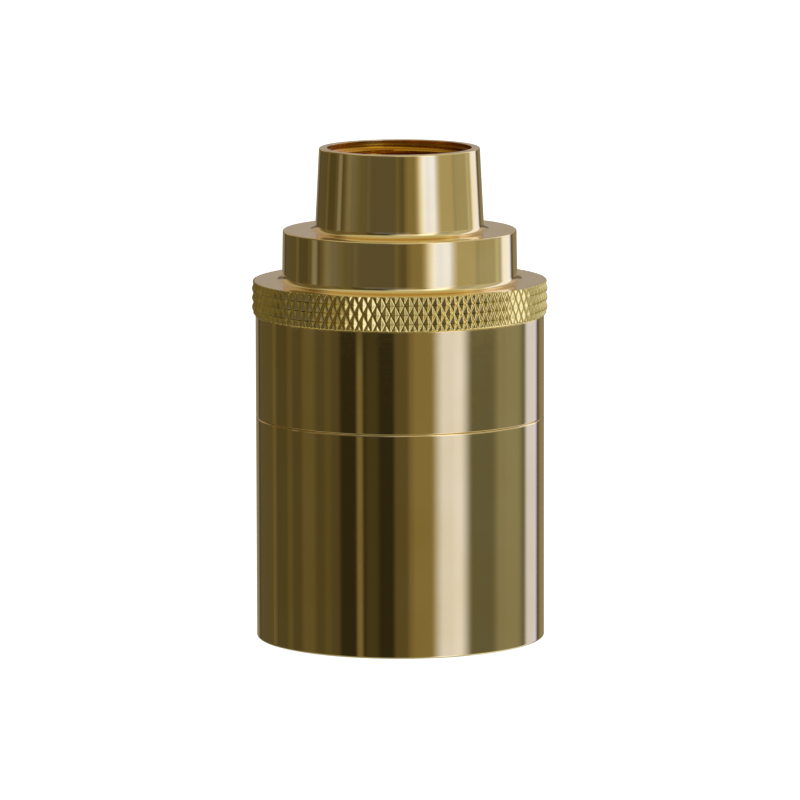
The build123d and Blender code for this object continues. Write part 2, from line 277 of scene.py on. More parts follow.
def sectors(width: float, radius: float, across: float) -> list[tuple[float, float]]:
    """The two part turns that two opposite slots leave of a ring.

    A slot of this width takes the angle asin(width / 2r) to either side of its middle.

    Args:
        width: Width of each slot.
        radius: Radius at which the slot's width is taken.
        across: Angle of the first slot, in radians.

    Returns:
        First and last angle of each part turn.
    """
    half = math.asin(width / 2 / radius)
    return [
        (across + half, across + math.pi - half),
        (across + math.pi + half, across + FULL_TURN - half),
    ]


class Shape:
    """A mesh under construction, gathered from several skins."""

    def __init__(self) -> None:
        """Starts with no skin."""
        self.spots: list[np.ndarray] = []
        self.faces: list[list[int]] = []
        self.count = 0

    def add(self, spots: np.ndarray, *groups: np.ndarray) -> None:
        """Adds one skin.

        Args:
            spots: Vertices in millimetres.
            groups: Arrays of faces, each with one number of corners, by this skin's vertices.
        """
        for group in groups:
            self.faces.extend((group + self.count).tolist())
        self.spots.append(spots)
        self.count += len(spots)

    def build(
        self, name: str, material: bpy.types.Material, crease: float = 50.0
    ) -> bpy.types.Object:
        """Makes the Blender object, smooth shaded between its sharp edges.

        Args:
            name: Name of the piece.
            material: Its finish.
            crease: Angle in degrees over which an edge is sharp.

        Returns:
            The new object, linked to the scene.
        """
        mesh = bpy.data.meshes.new(name)
        spots = np.concatenate(self.spots) * MM
        mesh.from_pydata(spots.tolist(), [], self.faces)
        mesh.update()
        mesh.shade_smooth()
        mesh.set_sharp_from_angle(angle=math.radians(crease))
        mesh.materials.append(material)
        piece = bpy.data.objects.new(name, mesh)
        bpy.context.scene.collection.objects.link(piece)
        return piece


# Shader graphs


class Value:
    """A shader socket that can be used in arithmetic."""

    def __init__(self, graph: "Graph", socket: bpy.types.NodeSocket) -> None:
        """Wraps one output socket of a graph."""
        self.graph = graph
        self.socket = socket

    def work(self, operation: str, first: "Value | float", second: "Value | float") -> "Value":
        """The result of one Math node."""
        return self.graph.node("ShaderNodeMath", {"operation": operation}, {0: first, 1: second})

    def __add__(self, other: "Value | float") -> "Value":
        """This value plus another."""
        return self.work("ADD", self, other)

    def __radd__(self, other: "Value | float") -> "Value":
        """Another value plus this one."""
        return self.work("ADD", other, self)

    def __sub__(self, other: "Value | float") -> "Value":
        """This value less another."""
        return self.work("SUBTRACT", self, other)

    def __rsub__(self, other: "Value | float") -> "Value":
        """Another value less this one."""
        return self.work("SUBTRACT", other, self)

    def __mul__(self, other: "Value | float") -> "Value":
        """This value times another."""
        return self.work("MULTIPLY", self, other)

    def __rmul__(self, other: "Value | float") -> "Value":
        """Another value times this one."""
        return self.work("MULTIPLY", other, self)

    def __pow__(self, other: "Value | float") -> "Value":
        """This value to the power of another."""
        return self.work("POWER", self, other)

    def __rpow__(self, other: "Value | float") -> "Value":
        """Another value to the power of this one."""
        return self.work("POWER", other, self)

    def least(self, other: "Value | float") -> "Value":
        """The smaller of this value and another."""
        return self.work("MINIMUM", self, other)


class Graph:
    """The node graph of one material."""

    def __init__(self, name: str) -> None:
        """Makes a material whose graph holds only its output.

        Args:
            name: Name of the material.
        """
        self.material = bpy.data.materials.new(name)
        self.material.use_nodes = True
        self.tree = self.material.node_tree
        self.tree.nodes.clear()
        self.output = self.make("ShaderNodeOutputMaterial")

    def make(
        self, kind: str, settings: dict | None = None, inputs: dict | None = None
    ) -> bpy.types.Node:
        """Adds one node, its settings first and then its sockets.

        Args:
            kind: The node's type.
            settings: Attributes of the node.
            inputs: Constants or values for its inputs, by name or number.

        Returns:
            The node.
        """
        made = self.tree.nodes.new(kind)
        for name, setting in (settings or {}).items():
            setattr(made, name, setting)
        for socket, given in (inputs or {}).items():
            if isinstance(given, Value):
                self.tree.links.new(given.socket, made.inputs[socket])
            else:
                made.inputs[socket].default_value = given
        return made

    def node(
        self,
        kind: str,
        settings: dict | None = None,
        inputs: dict | None = None,
        out: int | str = 0,
    ) -> Value:
        """Adds one node and gives one of its outputs.

        Args:
            kind: The node's type.
            settings: Attributes of the node.
            inputs: Constants or values for its inputs, by name or number.
            out: Which output to give.

        Returns:
            The output as a value.
        """
        return Value(self, self.make(kind, settings, inputs).outputs[out])

    def surface(self, shader: Value) -> None:
        """Shows a shader as the material's surface."""
        self.tree.links.new(shader.socket, self.output.inputs[0])

    def principled(self, inputs: dict) -> None:
        """Shows a principled shader with these constants and values on its sockets."""
        self.surface(self.node("ShaderNodeBsdfPrincipled", inputs=inputs))

    def veil(self, tint: Tone, strength: Value) -> None:
        """Shows a clear veil that gives off light.

        Args:
            tint: Colour of the light.
            strength: Its brightness over the surface.
        """
        light = self.node("ShaderNodeEmission", inputs={"Color": tint, "Strength": strength})
        clear = self.node("ShaderNodeBsdfTransparent")
        self.surface(self.node("ShaderNodeAddShader", inputs={0: light, 1: clear}))

    def place(self) -> Value:
        """Object coordinates in metres."""
        return self.node("ShaderNodeTexCoord", out="Object")

    def split(self, vector: Value) -> tuple[Value, ...]:
        """The three parts of a vector."""
        made = self.make("ShaderNodeSeparateXYZ", inputs={0: vector})
        return tuple(Value(self, made.outputs[axis]) for axis in "XYZ")

    def join(self, x: Value, y: Value, z: Value) -> Value:
        """A vector from three parts."""
        return self.node("ShaderNodeCombineXYZ", inputs={0: x, 1: y, 2: z})

    def noise(self, vector: Value, scale: float, detail: float, rough: float) -> Value:
        """Fractal noise from 0 to 1.

        Args:
            vector: Where the noise is taken.
            scale: Its waves in a metre.
            detail: Octaves of finer noise on it.
            rough: Strength of each octave against the one before.

        Returns:
            The noise at the vector.
        """
        return self.node(
            "ShaderNodeTexNoise",
            inputs={"Vector": vector, "Scale": scale, "Detail": detail, "Roughness": rough},
        )

    def spread(
        self,
        value: Value,
        low: float,
        high: float,
        start: float,
        end: float,
        smooth: bool = False,
    ) -> Value:
        """Maps low..high to start..end and clamps what lies past them.

        Args:
            value: What is mapped.
            low: Lower end of its range.
            high: Upper end of its range.
            start: What the lower end becomes.
            end: What the upper end becomes.
            smooth: Whether the ramp eases in and out.

        Returns:
            The mapped value.
        """
        kind = "SMOOTHSTEP" if smooth else "LINEAR"
        limits = {"Value": value, 1: low, 2: high, 3: start, 4: end}
        return self.node("ShaderNodeMapRange", {"interpolation_type": kind}, limits)

    def blend(self, factor: Value, first: Value | Tone, second: Value | Tone) -> Value:
        """A colour between two, by a factor."""
        colours = {0: factor, 6: first, 7: second}
        return self.node("ShaderNodeMix", {"data_type": "RGBA"}, colours, out=2)

    def bump(self, height: Value, strength: float, distance: float) -> Value:
        """A normal that is tilted by a height of this strength and distance."""
        inputs = {"Height": height, "Strength": strength, "Distance": distance}
        return self.node("ShaderNodeBump", inputs=inputs)


# Finishes


@dataclass(frozen=True)
class Brass:
    """Brass, turned and polished or only rolled.

    Args:
        name: Name of the material.
        pale: Colour of the freshly polished metal, linear.
        deep: Colour where the lacquer is thicker or the metal has toned.
        smooth: Roughness of the cleanest places.
        dull: Roughness of the handled places.
        marks: Depth of the turning marks, in metres.
        bore: Radius in metres inside which the metal is bare and unpolished, and its colour
            carries painted shade.
        bore_top: Height in metres up to which it is so.
        bore_shade_tone: Colour painted inside the bore, deeper and redder than the polished metal
            to stand in for light bounced several times there (painted shade), linear.
        bore_dull: What that adds to the roughness.
        rim: Radius in metres outside which the metal is as the knurling wheel left it.
        rim_tone: Colour of that knurled metal, linear.
        rim_dull: What that adds to the roughness.
    """

    name: str
    pale: Tone = (0.91, 0.67, 0.235, 1.0)
    deep: Tone = (0.87, 0.62, 0.19, 1.0)
    smooth: float = 0.04
    dull: float = 0.075
    marks: float = 1.5e-7
    bore: float = 0.0107
    bore_top: float = 0.0681
    bore_shade_tone: Tone = (0.58, 0.25, 0.011, 1.0)
    bore_dull: float = 0.22
    rim: float = 0.02004
    rim_tone: Tone = (0.925, 0.685, 0.18, 1.0)
    rim_dull: float = 0.035

    def material(self) -> bpy.types.Material:
        """The material, with fine rings, clouds of tone, a few handling marks and painted shade
        inside the bore.

        The rings are noise over the distance from the axis, the height and a slow share of
        x + y, so they stretch round the axis.

        Returns:
            The new material.
        """
        graph = Graph(self.name)
        place = graph.place()
        x, y, z = graph.split(place)
        radius = (x * x + y * y) ** 0.5
        inside = graph.spread(radius, self.bore - 0.0004, self.bore, 1, 0)
        inside = inside * graph.spread(z, self.bore_top - 0.0002, self.bore_top, 1, 0)
        knurled = graph.spread(radius, self.rim, self.rim + 0.00003, 0, 1)
        rings = graph.noise(graph.join(radius, z, 0.02 * (x + y)), 6000.0, 2.0, 0.6)
        clouds = graph.noise(place, 90.0, 4.0, 0.55)
        specks = graph.noise(place, 1400.0, 2.0, 0.5)
        tone = graph.blend(graph.spread(clouds, 0.35, 0.7, 0, 1), self.pale, self.deep)
        tone = graph.blend(knurled, tone, self.rim_tone)
        worn = graph.spread(clouds * 0.6 + specks * 0.4, 0.4, 0.62, self.smooth, self.dull)
        worn = worn + graph.spread(rings, 0.4, 0.7, 0, 0.02)
        graph.principled(
            {
                # Inside the bore the colour is painted shade: deeper and redder, as light bounced
                # several times in the recess would leave it.
                "Base Color": graph.blend(inside, tone, self.bore_shade_tone),
                "Roughness": worn + inside * self.bore_dull + knurled * self.rim_dull,
                "Normal": graph.bump(rings, 1.0, self.marks),
                "Metallic": 1.0,
            }
        )
        return graph.material


@dataclass(frozen=True)
class Porcelain:
    """White glazed porcelain.

    Args:
        name: Name of the material.
        body: Colour of the glaze, linear.
        shade: Colour where the glaze runs thin.
        smooth: Roughness of the glaze.
        dull: Roughness of its specks.
    """

    name: str
    body: Tone = (0.84, 0.82, 0.76, 1.0)
    shade: Tone = (0.74, 0.70, 0.62, 1.0)
    smooth: float = 0.1
    dull: float = 0.22

    def material(self) -> bpy.types.Material:
        """The material, with soft clouds in the glaze, a slight ripple and fine specks.

        Returns:
            The new material.
        """
        graph = Graph(self.name)
        place = graph.place()
        clouds = graph.noise(place, 160.0, 4.0, 0.5)
        specks = graph.noise(place, 2600.0, 1.0, 0.4)
        tone = graph.spread(clouds * 0.75 + specks * 0.25, 0.42, 0.66, 0, 1)
        graph.principled(
            {
                "Base Color": graph.blend(tone, self.body, self.shade),
                "Roughness": graph.spread(specks, 0.3, 0.7, self.smooth, self.dull),
                "Normal": graph.bump(clouds, 0.25, 0.0001),
                "Coat Weight": 0.5,
                "Coat Roughness": 0.08,
                "IOR": 1.5,
            }
        )
        return graph.material


@dataclass(frozen=True)
class Plated:
    """A plated or machined small part, such as a screw, with fine drag marks.

    Args:
        name: Name of the material.
        pale: Colour of the plating, linear.
        deep: Colour in its duller places.
        smooth: Roughness of the cleanest places.
        dull: Roughness of the duller places.
    """

    name: str
    pale: Tone = (0.62, 0.61, 0.58, 1.0)
    deep: Tone = (0.48, 0.46, 0.42, 1.0)
    smooth: float = 0.2
    dull: float = 0.38

    def material(self) -> bpy.types.Material:
        """The material, with drag marks along X and cloudy plating.

        Returns:
            The new material.
        """
        graph = Graph(self.name)
        place = graph.place()
        x, y, z = graph.split(place)
        drag = graph.noise(graph.join(x * 0.1, y, z), 5200.0, 2.0, 0.6)
        clouds = graph.noise(place, 500.0, 3.0, 0.5)
        tone = graph.spread(clouds, 0.35, 0.7, 0, 1)
        wear = drag * 0.5 + clouds * 0.5
        graph.principled(
            {
                "Base Color": graph.blend(tone, self.pale, self.deep),
                "Roughness": graph.spread(wear, 0.35, 0.65, self.smooth, self.dull),
                "Normal": graph.bump(drag, 0.5, 3e-6),
                "Metallic": 1.0,
            }
        )
        return graph.material


class Finish(Enum):
    """The finishes of the lamp holder's pieces."""

    POLISHED = Brass("fine_polished_brass")
    ROLLED = Brass(
        "fine_rolled_brass",
        pale=(0.78, 0.50, 0.20, 1.0),
        deep=(0.66, 0.40, 0.15, 1.0),
        smooth=0.16,
        dull=0.3,
        marks=3e-6,
    )
    BRONZE = Plated("fine_bronze", (0.72, 0.40, 0.22, 1.0), (0.60, 0.31, 0.16, 1.0))
    MACHINED = Plated("fine_machined_brass", (0.78, 0.58, 0.27, 1.0), (0.66, 0.46, 0.2, 1.0))
    STEEL = Plated("fine_plated_steel")
    GLAZED = Porcelain("fine_glazed_porcelain")

    def material(self) -> bpy.types.Material:
        """The finish's material, made once."""
        return bpy.data.materials.get(self.value.name) or self.value.material()


# The turned outside


@dataclass(frozen=True)
class Body:
    """Sizes that the cap, the upper shell and the lower sleeve share.

    Args:
        radius: Radius of the plain body.
        top: Height of the flange's lower face.
        seam: Height at which the shells meet.
        tube_radius: Outside of the upper shell's tube, at its thread's crest.
        cap_thread_radius: Outside of the cap's skirt, at its thread's crest.
        clearance: Gap between two threads.
        pitch: Rise of the threads between the pieces.
        key_width: Width of the porcelain's keys.
        key_play: Gap beside a key.
        key_rise: Height of a slot for a key.
        lead: Chamfer where a thread starts.
    """

    radius: float = 20.0
    top: float = 45.0
    seam: float = 30.9
    tube_radius: float = 18.4
    cap_thread_radius: float = 18.75
    clearance: float = 0.05
    pitch: float = 1.0
    key_width: float = 4.6
    key_play: float = 0.3
    key_rise: float = 5.5
    lead: float = 0.3

    @property
    def slot(self) -> float:
        """Width of a slot that takes a key."""
        return self.key_width + 2 * self.key_play


@dataclass(frozen=True)
class Knurl:
    """The diamond knurl round the flange.

    Two sets of grooves, one of each hand, cross at twice the knurl's angle. Between them
    stand four-sided pyramids.

    Args:
        radius: Crest radius.
        count: Grooves of one hand round the flange.
        angle: Lean of the grooves, in degrees.
        flank: Slope of a groove's flanks, in degrees.
        low: Lower end of the knurled wall.
        high: Upper end of the knurled wall.
        lower_chamfer: Size of the chamfer at the lower edge.
        upper_chamfer: Size of the chamfer at the upper edge.
        margin: How far the blank stands past the crests, so the chamfers start outside them.
        inner: Inner radius of the band's skin.
        fineness: Mesh steps in half a diamond.
        worn: How far the crests are blunted.
        groove: Rounding of the grooves' bottoms.
        hold: Distance of the rows that keep the flats' shading flat from their edges.
    """

    radius: float = 20.5
    count: int = 100
    angle: float = 26.7
    flank: float = 39.5
    low: float = 45.0
    high: float = 49.8
    lower_chamfer: float = 0.6
    upper_chamfer: float = 0.3
    margin: float = 0.12
    inner: float = 17.35
    fineness: int = 8
    worn: float = 0.02
    groove: float = 0.06
    hold: float = 0.04

    @property
    def spacing(self) -> float:
        """Distance between two grooves of one hand, measured square to them."""
        return FULL_TURN * self.radius * math.cos(math.radians(self.angle)) / self.count

    def grid(self) -> tuple[np.ndarray, np.ndarray, np.ndarray]:
        """The grid of the knurled wall, whose steps are counted from a crossing's centre.

        A diamond is spacing / sin(angle) high and has 2n steps up it and 2n round it, with n
        the fineness. One row is added at either end of the wall.

        Returns:
            Steps round the flange and up it at each point, and the height of each row.
        """
        rise = self.spacing / (2 * math.sin(math.radians(self.angle))) / self.fineness
        reach = int((self.high - self.low) / 2 / rise)
        middle = (self.low + self.high) / 2
        heights = middle + np.arange(-reach, reach + 1) * rise
        heights = np.concatenate([[self.low], heights, [self.high]])
        around = np.arange(2 * self.fineness * self.count)
        i, j = np.meshgrid(around, (heights - middle) / rise, indexing="ij")
        return i, j, heights

    def to_grooves(self, i: np.ndarray, j: np.ndarray) -> tuple[np.ndarray, np.ndarray]:
        """Distances from the nearest groove of either hand, as shares of their spacing.

        Grooves lie where i + j or i - j is a multiple of 2n, with n the fineness.

        Args:
            i: Steps round the flange.
            j: Steps up it.

        Returns:
            The distance from a left-hand groove and from a right-hand one.
        """
        left, right = (i + j) / (2 * self.fineness), (i - j) / (2 * self.fineness)
        return np.abs(left - np.round(left)), np.abs(right - np.round(right))

    def wall(self, i: np.ndarray, j: np.ndarray, heights: np.ndarray) -> np.ndarray:
        """The radius of the knurled wall.

        Over a groove's bottom it rises by the distance d from the groove times the tangent s
        of the flank's slope, rounded at the bottom by sqrt((s d)^2 + q^2) - q with q the
        groove's rounding. The tips are cut off, and so is what lies outside the chamfers.

        Args:
            i: Steps round the flange.
            j: Steps up it.
            heights: Height of each row.

        Returns:
            The radius at each point.
        """
        tallest = math.tan(math.radians(self.flank)) * self.spacing / 2
        rise = 2 * tallest * np.minimum(*self.to_grooves(i, j))
        rise = np.sqrt(rise * rise + self.groove**2) - self.groove
        rise = np.minimum(rise, tallest - self.groove - self.worn)
        chamfers = np.maximum(
            np.maximum(0, self.low + self.lower_chamfer - heights),
            np.maximum(0, heights - self.high + self.upper_chamfer),
        )
        root = self.radius - tallest + self.groove
        return np.minimum(root + rise, self.radius + self.margin - chamfers)

    def skin(self) -> tuple[np.ndarray, np.ndarray]:
        """The band's closed skin: the wall, both flats and the inner side.

        Each cell of the wall is split along the groove that lies nearer to its centre.

        Returns:
            Vertices in millimetres and triangles.
        """
        i, j, heights = self.grid()
        brink = self.radius - self.upper_chamfer
        floor = [self.inner, self.inner + self.hold]
        roof = [brink, brink - self.hold, self.inner + self.hold, self.inner]
        count = len(i)
        columns = [np.tile(floor, (count, 1)), self.wall(i, j, heights), np.tile(roof, (count, 1))]
        radius = np.concatenate(columns, axis=1)
        height = np.concatenate([[self.low] * len(floor), heights, [self.high] * len(roof)])
        angle = i[:, :1] * FULL_TURN / count
        spots = [radius * np.cos(angle), radius * np.sin(angle), np.tile(height, (count, 1))]
        a, b, c, d = ring_corners(count, len(height))
        by_left = np.ones(a.shape, dtype=bool)
        left, right = self.to_grooves(i[:, :-1] + 0.5, j[:, :-1] + 0.5)
        by_left[:, len(floor) : len(floor) + len(heights) - 1] = left < right
        split = by_left[..., None]
        first = np.where(split, np.stack([a, b, d], 2), np.stack([a, b, c], 2))
        second = np.where(split, np.stack([b, c, d], 2), np.stack([a, c, d], 2))
        faces = np.concatenate([first.reshape(-1, 3), second.reshape(-1, 3)])
        return np.stack(spots, axis=2).reshape(-1, 3), faces


@dataclass(frozen=True)
class Cap:
    """The cap: threaded neck, middle step, knurled flange and threaded skirt.

    Args:
        body: Sizes shared with the shells.
        knurl: The flange's knurled band.
        step_radius: Foot radius of the step.
        step_top: Height of the step's flat.
        step_taper: How much narrower the step is at its top.
        step_edge: Rounding of the step's edge.
        neck_base_radius: Foot radius of the neck.
        neck_mouth_radius: Radius of the neck at its mouth.
        mouth: Height of the mouth.
        mouth_edge: Rounding of the mouth's outer edge.
        mouth_lip: Rounding of the mouth's inner edge.
        root_fillet: Fillet at the foot of the step and of the neck.
        neck_thread: Thread inside the neck.
        thread_radius: Root radius of that thread.
        thread_rows: Rows of the mesh over the thread.
        relief_radius: Radius of the wider bore under the thread.
        relief_top: Height at which the wider bore ends.
        ceiling: Height of the ceiling over the interior.
        skirt_bottom: Height of the skirt's lower end.
        skirt_inner: Inner radius of the skirt.
        skirt_depth: Depth of the skirt's thread.
        segments: Steps round the axis.
    """

    body: Body = Body()
    knurl: Knurl = Knurl()
    step_radius: float = 16.3
    step_top: float = 56.8
    step_taper: float = 0.12
    step_edge: float = 0.24
    neck_base_radius: float = 11.7
    neck_mouth_radius: float = 11.12
    mouth: float = 68.2
    mouth_edge: float = 0.22
    mouth_lip: float = 0.06
    root_fillet: float = 0.9
    neck_thread: Thread = Thread(pitch=1.0, depth=0.54, low=55.0, high=67.6, runout=0.8)
    thread_radius: float = 10.0
    thread_rows: int = 110
    relief_radius: float = 11.2
    relief_top: float = 54.8
    ceiling: float = 47.6
    skirt_bottom: float = 39.3
    skirt_inner: float = 17.3
    skirt_depth: float = 0.4
    segments: int = 360

    def neck_relief(
        self, radius: np.ndarray, height: np.ndarray, angle: np.ndarray
    ) -> np.ndarray:
        """Cuts the neck's inner thread: the bore's wall moves inwards by the ridge.

        Args:
            radius: Radii of the points.
            height: Their heights.
            angle: Their angles round the axis.

        Returns:
            The finished radii.
        """
        ridge = self.neck_thread.ridge(height, angle)
        wall = (radius < self.thread_radius + WALL_MATCH) & (height > self.relief_top + 0.05)
        return np.where(wall, radius - ridge, radius)

    def skirt_relief(
        self, radius: np.ndarray, height: np.ndarray, angle: np.ndarray
    ) -> np.ndarray:
        """Cuts the skirt's outer thread: the wall moves inwards between the ridges.

        Args:
            radius: Radii of the points.
            height: Their heights.
            angle: Their angles round the axis.

        Returns:
            The finished radii.
        """
        low, high = self.skirt_bottom + self.body.lead, self.body.top + 0.6
        thread = Thread(self.body.pitch, self.skirt_depth, low, high)
        wall = radius > self.body.cap_thread_radius - WALL_MATCH
        return np.where(wall, radius - thread.cut(height, angle), radius)

    def turning(self) -> tuple[np.ndarray, ...]:
        """The skin of neck, step and flange, without the knurled band.

        Returns:
            Vertices and faces.
        """
        body, knurl = self.body, self.knurl
        points = outline(
            [
                Corner(self.skirt_inner, self.ceiling),
                Corner(self.skirt_inner, body.top),
                Corner(body.cap_thread_radius - 0.3, body.top),
                Corner(knurl.inner, body.top + 0.2),
                Corner(knurl.inner, knurl.high),
                Corner(self.step_radius, knurl.high, self.root_fillet),
                Corner(self.step_radius - self.step_taper, self.step_top, self.step_edge),
                Corner(self.neck_base_radius, self.step_top, self.root_fillet),
                Corner(self.neck_mouth_radius, self.mouth, self.mouth_edge),
                Corner(self.thread_radius, self.mouth, self.mouth_lip),
                Corner(self.thread_radius, self.mouth - body.lead, rows=self.thread_rows),
                Corner(self.thread_radius, self.relief_top, 0.1),
                Corner(self.relief_radius, self.relief_top),
                Corner(self.relief_radius, self.ceiling, 0.2),
            ]
        )
        return turned(points, self.segments, self.neck_relief)

    def skirt(self, sector: tuple[float, float]) -> tuple[np.ndarray, ...]:
        """The skin of one half of the skirt, between the slots for the keys.

        Args:
            sector: Its first and last angle.

        Returns:
            Vertices and faces.
        """
        crest, top = self.body.cap_thread_radius, self.body.top + 0.1
        points = outline(
            [
                Corner(self.skirt_inner, self.skirt_bottom),
                Corner(crest, self.skirt_bottom, self.body.lead, rows=44),
                Corner(crest, top),
                Corner(self.skirt_inner, top),
            ]
        )
        return turned(points, self.segments // 2, self.skirt_relief, sector)

    def build(self) -> None:
        """Makes the cap and its knurled band."""
        shape = Shape()
        shape.add(*self.turning())
        for sector in sectors(self.body.slot, self.skirt_inner, math.pi / 2):
            shape.add(*self.skirt(sector))
        piece = shape.build("cap_body", Finish.POLISHED.material())
        band = Shape()
        band.add(*self.knurl.skin())
        ring = band.build("cap_knurl", Finish.POLISHED.material(), crease=80.0)
        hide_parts("cap")
        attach(piece, "cap")
        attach(ring, "cap")
        log.info("cap: %d faces, knurl: %d faces", len(shape.faces), len(band.faces))


@dataclass(frozen=True)
class UpperShell:
    """The upper shell: the visible ring, the bore for the cap, the ledge and the tube.

    Args:
        body: Sizes shared with the cap and the sleeve.
        bottom: Height of the tube's lower end.
        inner: Inner radius of the tube.
        ledge: Height of the ledge that carries the porcelain.
        groove: Height of the plain groove between the ledge and the bore's thread.
        thread_depth: Depth of both threads.
        seam_rounding: Rounding of the edge at the seam.
        top_rounding: Rounding of the upper edge.
        segments: Steps round the axis.
    """

    body: Body = Body()
    bottom: float = 18.9
    inner: float = 17.0
    ledge: float = 36.9
    groove: float = 2.5
    thread_depth: float = 0.35
    seam_rounding: float = 0.14
    top_rounding: float = 0.08
    segments: int = 360

    @property
    def bore(self) -> float:
        """Radius of the bore that takes the cap's skirt."""
        return self.body.cap_thread_radius + self.body.clearance

    @property
    def slot_top(self) -> float:
        """Height at which the slots for the collar's keys end."""
        return self.bottom + self.body.key_rise + self.body.key_play

    def relief(self, radius: np.ndarray, height: np.ndarray, angle: np.ndarray) -> np.ndarray:
        """Cuts the bore's inner thread and the tube's outer one between their ridges.

        Args:
            radius: Radii of the points.
            height: Their heights.
            angle: Their angles round the axis.

        Returns:
            The finished radii.
        """
        body, depth = self.body, self.thread_depth
        bore_thread = Thread(body.pitch, depth, self.ledge + self.groove + 0.1, body.top)
        tube_thread = Thread(body.pitch, depth, self.bottom + 0.4, body.seam)
        inside = np.abs(radius - self.bore) < WALL_MATCH
        outside = np.abs(radius - body.tube_radius) < WALL_MATCH
        outside = outside & (height < body.seam - 0.1)
        cut = np.where(inside, radius + bore_thread.cut(height, angle), radius)
        return np.where(outside, radius - tube_thread.cut(height, angle), cut)

    def ring(self) -> tuple[np.ndarray, ...]:
        """The skin of the visible ring, the bore and the tube's upper part.

        Returns:
            Vertices and faces.
        """
        body, bore = self.body, self.bore
        points = outline(
            [
                Corner(self.inner, self.slot_top),
                Corner(body.tube_radius, self.slot_top, rows=50),
                Corner(body.tube_radius, body.seam),
                Corner(body.radius, body.seam, self.seam_rounding),
                Corner(body.radius, body.top, self.top_rounding),
                Corner(bore + body.lead, body.top),
                Corner(bore, body.top - body.lead, rows=48),
                Corner(bore, self.ledge + self.groove),
                Corner(bore, self.ledge),
                Corner(self.inner, self.ledge, 0.1),
            ]
        )
        return turned(points, self.segments, self.relief)

    def tube(self, sector: tuple[float, float]) -> tuple[np.ndarray, ...]:
        """The skin of one half of the tube's lower part, between the slots for the keys.

        Args:
            sector: Its first and last angle.

        Returns:
            Vertices and faces.
        """
        crest = self.body.tube_radius
        points = outline(
            [
                Corner(self.inner, self.bottom),
                Corner(crest, self.bottom, self.body.lead, rows=40),
                Corner(crest, self.slot_top),
                Corner(self.inner, self.slot_top),
            ]
        )
        return turned(points, self.segments // 2, self.relief, sector)

    def build(self) -> None:
        """Makes the upper shell."""
        shape = Shape()
        shape.add(*self.ring())
        for sector in sectors(self.body.slot, self.inner, 0.0):
            shape.add(*self.tube(sector))
        piece = shape.build("upper_shell_fine", Finish.POLISHED.material())
        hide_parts("upper_shell")
        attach(piece, "upper_shell")
        log.info("upper shell: %d faces", len(shape.faces))


@dataclass(frozen=True)
class LowerSleeve:
    """The lower sleeve: the long plain skirt, with a thread in its top and a lip at its rim.

    Args:
        body: Sizes shared with the cap and the upper shell.
        thread_length: Length of the thread in its top.
        thread_depth: Depth of that thread.
        wall: Thickness of the plain wall.
        lip_radius: Inner radius of the lip that carries the collar.
        lip_thickness: Height of the lip.
        seam_rounding: Rounding of the edge at the seam.
        rim_rounding: Rounding of the lower rim's edges.
        segments: Steps round the axis.
    """

    body: Body = Body()
    thread_length: float = 6.0
    thread_depth: float = 0.28
    wall: float = 1.25
    lip_radius: float = 16.6
    lip_thickness: float = 1.6
    seam_rounding: float = 0.26
    rim_rounding: float = 0.25
    segments: int = 360

    @property
    def bore(self) -> float:
        """Radius of the bore that takes the upper shell's tube."""
        return self.body.tube_radius + self.body.clearance

    @property
    def start(self) -> float:
        """Height at which the thread starts."""
        return self.body.seam - self.thread_length

    def relief(self, radius: np.ndarray, height: np.ndarray, angle: np.ndarray) -> np.ndarray:
        """Cuts the sleeve's inner thread between its ridges.

        Args:
            radius: Radii of the points.
            height: Their heights.
            angle: Their angles round the axis.

        Returns:
            The finished radii.
        """
        thread = Thread(self.body.pitch, self.thread_depth, self.start, self.body.seam)
        wall = np.abs(radius - self.bore) < WALL_MATCH
        return np.where(wall, radius + thread.cut(height, angle), radius)

    def build(self) -> None:
        """Makes the lower sleeve."""
        body, bore = self.body, self.bore
        inner = body.radius - self.wall
        points = outline(
            [
                Corner(self.lip_radius, 0, self.rim_rounding),
                Corner(body.radius, 0, self.rim_rounding),
                Corner(body.radius, body.seam, self.seam_rounding),
                Corner(bore + body.lead, body.seam),
                Corner(bore, body.seam - body.lead, rows=46),
                Corner(bore, self.start),
                Corner(inner, self.start),
                Corner(inner, self.lip_thickness, 0.2),
                Corner(self.lip_radius, self.lip_thickness, 0.1),
            ]
        )
        shape = Shape()
        shape.add(*turned(points, self.segments, self.relief))
        piece = shape.build("lower_sleeve_fine", Finish.POLISHED.material())
        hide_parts("lower_sleeve")
        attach(piece, "lower_sleeve")
        log.info("lower sleeve: %d faces", len(shape.faces))


# The inner pieces


